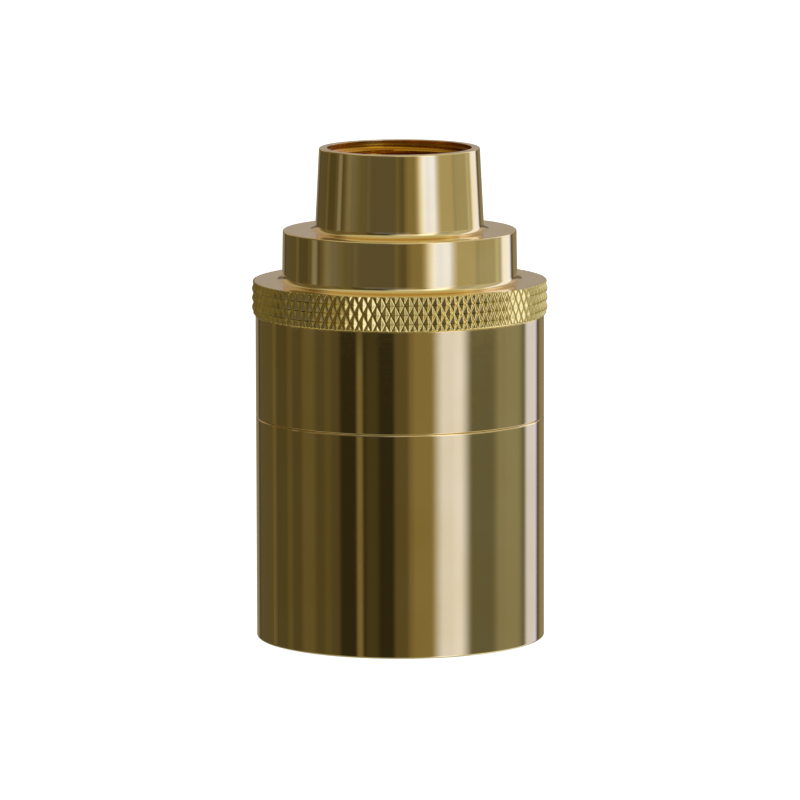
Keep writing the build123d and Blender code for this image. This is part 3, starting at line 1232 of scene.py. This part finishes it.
@dataclass(frozen=True)
class ScrewShell:
    """The screw shell: thin sheet with the lamp's thread rolled in, and its fixing tab.

    Args:
        thread: The lamp's thread.
        root_radius: Inner radius of the sheet at the thread's root.
        sheet: Thickness of the sheet.
        edge: Rounding of the sheet's edges.
        bottom: Height of the shell's mouth.
        top: Height of the tab's upper side.
        thread_rows: Rows of the mesh on each side of the sheet.
        tab_start: Where the tab ends near the axis, along X.
        tab_width: Its width.
        hole_place: Where its hole lies, along X.
        hole_radius: Radius of the hole.
        segments: Steps round the axis.
        tab_segments: Steps round the hole.
    """

    thread: Thread = Thread(pitch=3.629, depth=1.0, low=7.3, high=25.9, runout=1.4)
    root_radius: float = 13.4
    sheet: float = 0.4
    edge: float = 0.08
    bottom: float = 7.0
    top: float = 26.5
    thread_rows: int = 84
    tab_start: float = 5.0
    tab_width: float = 8.0
    hole_place: float = 8.2
    hole_radius: float = 1.7
    segments: int = 160
    tab_segments: int = 96

    def rolled(self, radius: np.ndarray, height: np.ndarray, angle: np.ndarray) -> np.ndarray:
        """Rolls the thread into the sheet: both its sides move inwards by the ridge.

        Args:
            radius: Radii of the points.
            height: Their heights.
            angle: Their angles round the axis.

        Returns:
            The finished radii.
        """
        return radius - self.thread.ridge(height, angle)

    def tab(self) -> tuple[np.ndarray, np.ndarray]:
        """The tab, a plate with one round hole.

        Each section runs from the hole to the plate's edge. Along the angle a the edge lies at
        the smaller of the distances to the end and to the side, that is length / |cos a| and
        half the width / |sin a|.

        Returns:
            Vertices in millimetres and faces.
        """
        angle = np.linspace(0, FULL_TURN, self.tab_segments, endpoint=False)
        cosine, sine = np.cos(angle), np.sin(angle)
        outwards = self.root_radius + 0.1 - self.hole_place
        reach = np.where(cosine > 0, outwards, self.hole_place - self.tab_start)
        edge = np.minimum(
            reach / np.maximum(np.abs(cosine), 1e-6),
            self.tab_width / 2 / np.maximum(np.abs(sine), 1e-6),
        )
        hold = 0.04
        start = np.full_like(edge, self.hole_radius)
        radius = np.stack([start, start + hold, edge - hold, edge], axis=1)
        radius = np.concatenate([radius, radius[:, ::-1]], axis=1)
        height = np.repeat([self.top - self.sheet, self.top], 4)
        spots = [
            self.hole_place + radius * cosine[:, None],
            radius * sine[:, None],
            np.tile(height, (self.tab_segments, 1)),
        ]
        faces = ring_faces(self.tab_segments, len(height))
        return np.stack(spots, axis=2).reshape(-1, 3), faces

    def build(self) -> None:
        """Makes the screw shell."""
        outer = self.root_radius + self.sheet
        points = outline(
            [
                Corner(self.root_radius, self.bottom, self.edge),
                Corner(outer, self.bottom, self.edge, rows=self.thread_rows),
                Corner(outer, self.top, self.edge),
                Corner(self.root_radius, self.top, self.edge, rows=self.thread_rows),
            ],
            arc_steps=2,
        )
        shape = Shape()
        shape.add(*turned(points, self.segments, self.rolled))
        shape.add(*self.tab())
        piece = shape.build("screw_shell_fine", Finish.ROLLED.material())
        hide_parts("screw_shell")
        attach(piece, "interior")
        log.info("screw shell: %d faces", len(shape.faces))


@dataclass(frozen=True)
class Tongue:
    """The centre contact's tongue, which bends as the lamp presses its tip up.

    Args:
        foot_end: Where the foot ends and the bend starts, along X; not used.
        tip_start: Where the bend ends and the tip starts, along X; not used.
        digits: Decimals of a millimetre to which the points of the solid's mesh are merged.
    """

    foot_end: float = -5.93
    tip_start: float = -2.37
    digits: int = 4

    def build(self) -> None:
        """Makes the tongue from the solid's own mesh, with its loose triangles merged."""
        solid = frame["nodes"]["centre_contact"].data
        spots = np.empty(3 * len(solid.vertices))
        solid.vertices.foreach_get("co", spots)
        corners = np.empty(len(solid.loops), dtype=np.int32)
        solid.loops.foreach_get("vertex_index", corners)
        spots = np.round(spots.reshape(-1, 3) / MM, self.digits)
        spots, merged = np.unique(spots, axis=0, return_inverse=True)
        shape = Shape()
        shape.add(spots, merged.reshape(-1)[corners].reshape(-1, 3))
        piece = shape.build("centre_contact_fine", Finish.BRONZE.material(), crease=30.0)
        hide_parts("centre_contact")
        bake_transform(piece)
        log.info("tongue: %d faces", len(shape.faces))


@dataclass(frozen=True)
class Collar:
    """The porcelain collar: a glazed ring with a rounded mouth and two keys.

    Args:
        body: Sizes shared with the shells.
        mouth_radius: Radius of the mouth.
        mouth_top: Height at which the mouth ends.
        recess: How far the mouth stands back from the rim.
        lip_room_radius: Radius inside which the collar reaches down past the lip.
        lip_top: Height of the lip on which the collar rests.
        radius: Outer radius.
        bore_radius: Radius of the bore round the screw shell.
        top: Height of the collar's upper side.
        key_radius: Outer radius of the keys.
        key_inner: Their inner radius.
        key_top: Height of their upper side.
        key_root: How deep they reach into the ring.
        edge: Rounding of the upper edges.
        segments: Steps round the axis.
        key_segments: Steps round a key.
    """

    body: Body = Body()
    mouth_radius: float = 13.75
    mouth_top: float = 6.5
    recess: float = 0.3
    lip_room_radius: float = 16.3
    lip_top: float = 1.6
    radius: float = 17.9
    bore_radius: float = 14.4
    top: float = 18.0
    key_radius: float = 18.1
    key_inner: float = 16.3
    key_top: float = 24.4
    key_root: float = 0.6
    edge: float = 0.35
    segments: int = 180
    key_segments: int = 24

    def build(self) -> None:
        """Makes the collar."""
        ring = outline(
            [
                Corner(self.mouth_radius, self.recess, 0.7),
                Corner(self.lip_room_radius, self.recess, 0.25),
                Corner(self.lip_room_radius, self.lip_top, 0.1),
                Corner(self.radius, self.lip_top, 0.3),
                Corner(self.radius, self.top, self.edge),
                Corner(self.bore_radius, self.top, self.edge),
                Corner(self.bore_radius, self.mouth_top, 0.3),
                Corner(self.mouth_radius, self.mouth_top, 0.3),
            ]
        )
        key = outline(
            [
                Corner(self.key_inner, self.top - self.key_root),
                Corner(self.key_radius, self.top - self.key_root),
                Corner(self.key_radius, self.key_top, 0.4),
                Corner(self.key_inner, self.key_top, 0.4),
            ]
        )
        half = math.asin(self.body.key_width / 2 / self.key_radius)
        shape = Shape()
        shape.add(*turned(ring, self.segments))
        for middle in (0.0, math.pi):
            shape.add(*turned(key, self.key_segments, None, (middle - half, middle + half)))
        piece = shape.build("porcelain_collar_fine", Finish.GLAZED.material())
        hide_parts("porcelain_collar")
        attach(piece, "collar")
        log.info("porcelain collar: %d faces", len(shape.faces))


def dress_frame() -> None:
    """Gives every CAD node its finish, also where a finer piece takes its place."""
    finishes = {
        "polished_brass": Finish.POLISHED,
        "thread_brass": Finish.ROLLED,
        "bronze": Finish.BRONZE,
        "terminal_brass": Finish.MACHINED,
        "steel": Finish.STEEL,
        "porcelain": Finish.GLAZED,
    }
    subparts = frame["record"]["subparts"]
    for part in subparts:
        solid = frame["nodes"][part["node"]]
        solid.data.materials.clear()
        solid.data.materials.append(finishes[part["material_slot"]].material())
    log.info("dressed %d nodes", len(subparts))


# Studio and camera

WARM = (1.0, 0.90, 0.62, 1.0)
COOL = (1.0, 1.17, 2.5, 1.0)
OLIVE = (1.0, 1.11, 1.3, 1.0)
PALE = (1.0, 1.12, 1.7, 1.0)
WHITE = (1.0, 0.99, 1.0, 1.0)
SKY = (1.0, 1.9, 7.5, 1.0)
TAN = (1.0, 0.9, 0.85, 1.0)
CEILING_TINT = (1.0, 1.06, 1.2, 1.0)
TABLE_TINT = (1.0, 1.2, 1.4, 1.0)

STEP_AND_NECK = (-6.6, 12, 1.2)
"""Lower and upper edge and brim of a card that only the step and the neck mirror."""

BODY_ONLY = (-65, -5.8, 1.5)
"""The same for a card that only the plain body mirrors."""

UPPER_FACETS = (6, 60)
"""Lower and upper edge of a card for the knurl's upper facets and the fillets."""

LOWER_FACETS = (-65, -16)
"""The same for the knurl's lower facets."""


@dataclass(frozen=True)
class Card:
    """An upright curved card of light round the object.

    Args:
        name: Name of the card.
        start: Azimuth of its first edge at half brightness, in degrees right of the camera.
        end: Azimuth of its last edge at half brightness.
        light: Brightness of its middle.
        tint: Colour of its light, linear.
        soft: Angle over which each edge fades, in degrees.
        low: Elevation of its lower edge, in degrees.
        high: Elevation of its upper edge, in degrees.
        brim: Angle over which the lower and upper edges fade, in degrees.
    """

    name: str
    start: float
    end: float
    light: float
    tint: Tone
    soft: float
    low: float = -65.0
    high: float = 50.0
    brim: float = 8.0


@dataclass(frozen=True)
class Studio:
    """Soft light: cards in a ring, a soft box overhead, a dim room and a pale floor.

    The body mirrors the ring at 9 to 7 degrees below the level, the step and the neck above
    -6 degrees, so cards that end or start between show on one of them only.

    Args:
        distance: Distance of the cards from the axis, in metres.
        level: Height of the cards' horizon, in metres.
        metal: Share of a card's light that the metal gives back.
        steps: Steps of the mesh along a card.
        room_radius: Radius of the round room, in metres.
        room_light: Brightness of the room.
        floor_reach: Half the floor's width, in metres.
        floor_light: Brightness of the floor.
        cards: The cards.
    """

    distance: float = 0.9
    level: float = 0.035
    metal: float = 0.9
    steps: int = 24
    room_radius: float = 8.0
    room_light: float = 0.03
    floor_reach: float = 7.0
    floor_light: float = 0.8
    cards: tuple[Card, ...] = (
        Card("key_card", 29.5, 54, 0.68, COOL, 11),
        Card("key_core", 43, 50, 0.05, COOL, 5),
        Card("key_top", 33, 52, 0.12, SKY, 8, *STEP_AND_NECK),
        Card("key_top_left", 24, 34, 0.26, PALE, 9, *STEP_AND_NECK),
        Card("key_side_card", 54, 88, 0.095, OLIVE, 8),
        Card("key_side_top", 54, 80, 0.27, WHITE, 8, *STEP_AND_NECK),
        Card("side_top", 80, 108, 0.11, WHITE, 8, *STEP_AND_NECK),
        Card("side_card", 85, 115, 0.215, OLIVE, 18),
        Card("rim_card", 119, 140, 0.62, COOL, 8),
        Card("rim_top", 108, 138, 0.26, OLIVE, 6, *STEP_AND_NECK),
        Card("back_card", 146, 205, 0.22, WARM, 12, -42, 4),
        Card("back_top", 140, 220, 0.34, TAN, 20, 0, 60),
        Card("front_card", 8.5, 30, 0.19, WARM, 8),
        Card("front_fill", -4.5, 9, 0.07, WARM, 4),
        Card("left_near_card", -27, -17, 0.03, WARM, 5, *BODY_ONLY),
        Card("left_near_top", -47, -2, 0.075, WHITE, 10, *STEP_AND_NECK),
        Card("left_strip", -34.3, -29.5, 0.15, WARM, 3.5, *BODY_ONLY),
        Card("left_card", -116, -48.5, 0.052, WARM, 5),
        Card("left_stripe_near", -62, -56, 0.02, WARM, 4),
        Card("left_stripe", -84, -71, 0.04, WARM, 6),
        Card("left_stripe_far", -101, -95, 0.03, WARM, 4),
        Card("left_top", -79, -62, 0.08, PALE, 8, *STEP_AND_NECK),
        Card("left_top_near", -62, -42, 0.04, WHITE, 8, *STEP_AND_NECK),
        Card("left_top_line", -95, -88, 0.15, PALE, 4, *STEP_AND_NECK),
        Card("left_line", -121, -116, 0.09, WARM, 3),
        Card("left_far_card", -150, -120, 0.07, WARM, 3),
        Card("upper_left_box", -150, -30, 0.04, WARM, 25, *UPPER_FACETS),
        Card("upper_front_box", -10, 60, 0.42, PALE, 25, 24, 60),
        Card("upper_right_box", 30, 150, 0.25, PALE, 25, *UPPER_FACETS),
        Card("lower_right_box", 30, 150, 0.27, PALE, 25, *LOWER_FACETS),
        Card("front_top", -35, 15, 0.07, COOL, 15, 3, 30, 4),
        Card("lower_left_box", -150, -30, 0.04, WARM, 25, *LOWER_FACETS),
    )

    def reflected_only(self, mesh: bpy.types.Mesh, material: bpy.types.Material) -> None:
        """Puts a mesh on the stage that shows only in reflections.

        Args:
            mesh: The mesh, which gives the object its name.
            material: Its light.
        """
        mesh.materials.append(material)
        made = bpy.data.objects.new(mesh.name, mesh)
        made.visible_camera = False
        made.visible_diffuse = False
        made.visible_shadow = False
        bpy.context.scene.collection.objects.link(made)

    def card(self, card: Card) -> None:
        """Makes one card, seen only in reflections.

        At the azimuth a and the elevation e a card of distance d lies at
        (d sin a, -d cos a, d tan e) from its horizon.

        Args:
            card: The card.
        """
        rows = max(8, int((card.high - card.low) / 2))
        first = card.start - card.soft / 2
        width = card.end + card.soft / 2 - first
        azimuth = np.radians(np.linspace(first, first + width, self.steps + 1))
        elevation = np.radians(np.linspace(card.low, card.high, rows + 1))
        a, e = np.meshgrid(azimuth, elevation, indexing="ij")
        spots = self.distance * np.stack([np.sin(a), -np.cos(a), np.tan(e)], axis=2)
        spots[:, :, 2] += self.level
        i, j = np.meshgrid(np.arange(self.steps), np.arange(rows), indexing="ij")
        corner = i * (rows + 1) + j
        faces = np.stack([corner, corner + 1, corner + rows + 2, corner + rows + 1], axis=2)
        mesh = bpy.data.meshes.new(card.name)
        mesh.from_pydata(spots.reshape(-1, 3).tolist(), [], faces.reshape(-1, 4).tolist())
        layer = mesh.uv_layers.new(name="card")
        across = np.stack([i, i, i + 1, i + 1], axis=2).reshape(-1) / self.steps
        up = np.stack([j, j + 1, j + 1, j], axis=2).reshape(-1) / rows
        layer.data.foreach_set("uv", np.stack([across, up], axis=1).reshape(-1))
        graph = Graph(card.name)
        u, v, _ = graph.split(graph.node("ShaderNodeUVMap", {"uv_map": "card"}))
        side, brink = u.least(1 - u), v.least(1 - v)
        light = card.light / self.metal
        brim = card.brim / (card.high - card.low)
        fade = graph.spread(side, 0, card.soft / width, 0, light, smooth=True)
        fade = fade * graph.spread(brink, 0, brim, 0, 1, smooth=True)
        graph.veil(card.tint, fade)
        self.reflected_only(mesh, graph.material)

    def square(self, name: str, height: float, reach: float, upwards: bool) -> bpy.types.Mesh:
        """A level square round the axis.

        Args:
            name: Name of the mesh.
            height: Its height over the floor, in metres.
            reach: Half its width, in metres.
            upwards: Whether it faces up.

        Returns:
            The mesh.
        """
        corners = [(-reach, -reach), (reach, -reach), (reach, reach), (-reach, reach)]
        if not upwards:
            corners = [(y, x) for x, y in corners]
        mesh = bpy.data.meshes.new(name)
        mesh.from_pydata([(x, y, height) for x, y in corners], [], [(0, 1, 2, 3)])
        return mesh

    def plate(self, name: str, height: float, reach: float, light: float, tint: Tone) -> None:
        """Makes a level, soft-edged card, seen only in reflections.

        Args:
            name: Name of the card.
            height: Its height over the floor, in metres.
            reach: Half its width, in metres.
            light: Brightness of its middle.
            tint: Colour of its light, linear.
        """
        graph = Graph(name)
        x, y, _ = graph.split(graph.place())
        away = (x * x + y * y) ** 0.5
        graph.veil(tint, graph.spread(away, 0.6 * reach, reach, light, 0.0, smooth=True))
        self.reflected_only(self.square(name, height, reach, upwards=False), graph.material)

    def room(self) -> None:
        """Makes the dim, warm room round the stage, which only the metal mirrors."""
        sphere = bmesh.new()
        bmesh.ops.create_icosphere(sphere, subdivisions=3, radius=self.room_radius)
        mesh = bpy.data.meshes.new("room")
        sphere.to_mesh(mesh)
        sphere.free()
        graph = Graph("room")
        light = {"Color": WARM, "Strength": self.room_light}
        graph.surface(graph.node("ShaderNodeEmission", inputs=light))
        self.reflected_only(mesh, graph.material)

    def floor(self) -> None:
        """Makes the pale floor, a light table that the metal doesn't mirror."""
        graph = Graph("floor")
        graph.principled(
            {
                "Base Color": (0.35, 0.35, 0.35, 1.0),
                "Roughness": 0.9,
                "Emission Color": (1.0, 1.0, 1.0, 1.0),
                "Emission Strength": self.floor_light,
            }
        )
        mesh = self.square("floor", 0.0, self.floor_reach, upwards=True)
        mesh.materials.append(graph.material)
        floor = bpy.data.objects.new("floor", mesh)
        floor.visible_glossy = False
        bpy.context.scene.collection.objects.link(floor)

    def overhead(self) -> None:
        """Makes the soft box over the stage, which only matt surfaces see."""
        lamp = bpy.data.lights.new("overhead", "AREA")
        lamp.shape = "SQUARE"
        lamp.size = 0.8
        lamp.energy = 2.0
        made = bpy.data.objects.new("overhead", lamp)
        made.location = (0, 0.1, 0.95)
        made.visible_glossy = False
        bpy.context.scene.collection.objects.link(made)

    def surroundings(self) -> None:
        """Makes the white surroundings, which the metal doesn't mirror."""
        world = bpy.data.worlds.new("surroundings")
        bpy.context.scene.world = world
        world.use_nodes = True
        background = world.node_tree.nodes["Background"]
        background.inputs["Color"].default_value = (1.0, 1.0, 1.0, 1.0)
        background.inputs["Strength"].default_value = 1.0
        world.cycles_visibility.glossy = False

    def build(self) -> None:
        """Makes the stage and sets how its colours are shown."""
        for card in self.cards:
            self.card(card)
        self.overhead()
        self.surroundings()
        self.plate("ceiling_card", height=0.85, reach=0.9, light=0.52, tint=CEILING_TINT)
        self.plate("table_card", height=-0.25, reach=0.45, light=0.3, tint=TABLE_TINT)
        self.room()
        self.floor()
        bpy.context.scene.view_settings.view_transform = "Standard"
        bpy.context.scene.view_settings.look = "None"
        log.info("studio: %d cards", len(self.cards))


@dataclass(frozen=True)
class Camera:
    """The camera, at the photograph's angle.

    Args:
        place: Its position, in metres.
        pitch: How far it looks down, in degrees.
        roll: Its turn about its line of sight, in degrees.
        lens: Focal length, in millimetres.
        sensor: Width of the sensor, in millimetres.
    """

    place: tuple[float, float, float] = (0.0, -0.9598, 0.1678)
    pitch: float = 7.998
    roll: float = -0.135
    lens: float = 314.2
    sensor: float = 36.0

    def build(self) -> None:
        """Makes the camera and looks through it."""
        data = bpy.data.cameras.new("camera")
        data.lens = self.lens
        data.sensor_width = self.sensor
        data.clip_start = 0.05
        made = bpy.data.objects.new("camera", data)
        made.location = self.place
        made.rotation_mode = "QUATERNION"
        tilt = Euler((math.radians(90 - self.pitch), 0, 0)).to_quaternion()
        made.rotation_quaternion = tilt @ Quaternion((0, 0, 1), math.radians(self.roll))
        bpy.context.scene.collection.objects.link(made)
        bpy.context.scene.camera = made
        log.info("camera at %s", self.place)


def main() -> None:
    """Builds the dressed lamp holder, its light and the camera."""
    logging.basicConfig(level=logging.INFO, format="%(message)s")
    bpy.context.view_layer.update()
    dress_frame()
    Cap().build()
    UpperShell().build()
    LowerSleeve().build()
    ScrewShell().build()
    Tongue().build()
    Collar().build()
    Studio().build()
    Camera().build()


if __name__ == "__main__":
    main()
